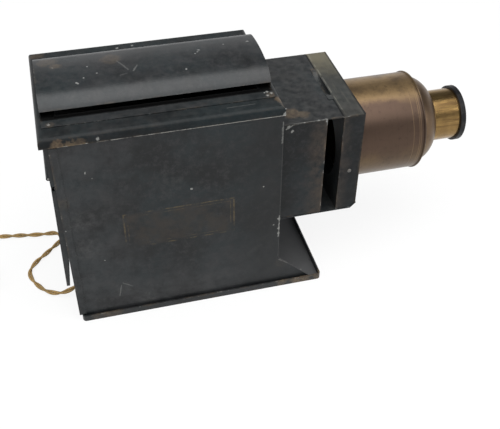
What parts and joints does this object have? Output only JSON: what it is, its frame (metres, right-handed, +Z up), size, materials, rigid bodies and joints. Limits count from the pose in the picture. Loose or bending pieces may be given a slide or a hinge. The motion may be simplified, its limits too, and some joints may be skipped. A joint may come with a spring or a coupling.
{
  "type": "magic lantern",
  "caption": "Japanned tinplate magic lantern with a vented lift-off lid, slide stage, condenser, brass lens barrel, sliding focus tube, rear flap and electric lamp.",
  "frame": {"origin": "centre of the base tray's underside", "axes": "+X along the lens axis out of the lens, +Z up, +Y to the left seen along +X"},
  "size_m": [0.6537, 0.1636, 0.2513],
  "materials": {
    "black_japan": "worn black stoving japan on tinplate",
    "aged_brass": "dull brown patina",
    "bright_brass": "rubbed bright by handling",
    "black_ring": "black lacquer",
    "clear_glass": "polished",
    "steel": "dull, lightly rusted",
    "porcelain": "white glaze",
    "black_rubber": "matt",
    "brown_moulding": "dark moulded resin",
    "cotton_flex": "twisted braided flex"
  },
  "bodies": {
    "lamphouse": {"base_tray": "black_japan", "near_side_wall": "black_japan", "far_side_wall": "black_japan", "front_wall": "black_japan", "rear_sill": "black_japan", "cord_bush": "black_rubber", "rear_upper_panel": "black_japan", "hinge_pin": "steel", "stage_top_plate": "black_japan", "stage_bottom_plate": "black_japan", "condenser_near_cheek": "black_japan", "condenser_far_cheek": "black_japan", "stage_rear_plate": "black_japan", "stage_front_plate": "black_japan", "front_near_cheek": "black_japan", "front_far_cheek": "black_japan", "lens_board": "black_japan", "cheek_rivets": "steel", "slide_spring": "steel", "condenser_cell": "aged_brass", "rear_condenser_lens": "clear_glass", "front_condenser_lens": "clear_glass", "condenser_spacer": "aged_brass", "condenser_retainer": "aged_brass", "lens_barrel": "aged_brass", "lens_nozzle": "aged_brass", "focus_sleeve": "aged_brass", "lamp_bracket": "black_japan", "bracket_screws": "steel", "holder_body": "porcelain", "screw_shell": "bright_brass", "centre_contact": "bright_brass", "lamp_lead": "cotton_flex", "mains_cord": "cotton_flex", "cord_coil": "cotton_flex", "cord_tie": "cotton_flex", "plug_body": "brown_moulding", "plug_pins": "bright_brass"},
    "lid": {"lid_pan": "black_japan", "vent_curb": "black_japan", "vent_cowl": "black_japan", "cowl_rear_end": "black_japan", "cowl_front_end": "black_japan", "curb_rivets": "steel"},
    "flap": {"rear_flap": "black_japan"},
    "focus": {"focus_tube": "bright_brass", "lens_ring": "black_ring", "front_objective": "clear_glass", "objective_cell": "aged_brass", "rear_objective": "clear_glass"},
    "lamp": {"lamp_cap": "bright_brass", "lamp_globe": "clear_glass", "lamp_stem": "clear_glass", "lamp_filament": "steel"}
  },
  "joints": [
    {"name": "lid_lift", "type": "slide", "parent": "lamphouse", "child": "lid", "axis": [0, 0, 1], "range_m": [0, 0.06]},
    {"name": "flap_hinge", "type": "hinge", "parent": "lamphouse", "child": "flap", "pos_m": [-0.1377, 0, 0.1755], "axis": [0, 1, 0], "range_deg": [-1.5, 100]},
    {"name": "focus_slide", "type": "slide", "parent": "lamphouse", "child": "focus", "axis": [1, 0, 0], "range_m": [-0.0295, 0.03]},
    {"name": "lamp_turn", "type": "hinge", "parent": "lamphouse", "child": "lamp", "pos_m": [-0.02, 0, 0.1398], "axis": [0, 0, 1], "continuous": true}
  ]
}
